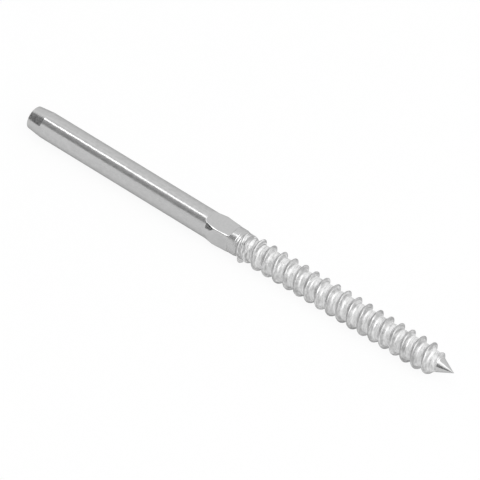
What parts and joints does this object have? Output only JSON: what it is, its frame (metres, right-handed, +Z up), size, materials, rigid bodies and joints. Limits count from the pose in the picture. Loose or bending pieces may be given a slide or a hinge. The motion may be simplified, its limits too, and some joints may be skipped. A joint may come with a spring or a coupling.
{
  "type": "swage lag screw",
  "caption": "Stainless end fitting for wire rope: a barrel that is swaged onto the rope, a pressed square for a spanner, and a coarse lag thread for timber.",
  "frame": {"origin": "centre of the mouth of the wire rope bore, at the swage end", "axes": "+X along the screw's axis towards the point, +Z up, with the flats of the square facing up, down and to both sides"},
  "size_m": [0.1038, 0.0064, 0.0064],
  "materials": {
    "stainless_steel": "bright drawn barrel, dull rolled thread"
  },
  "bodies": {
    "root": {"swage_lag_screw": "stainless_steel"}
  },
  "joints": []
}
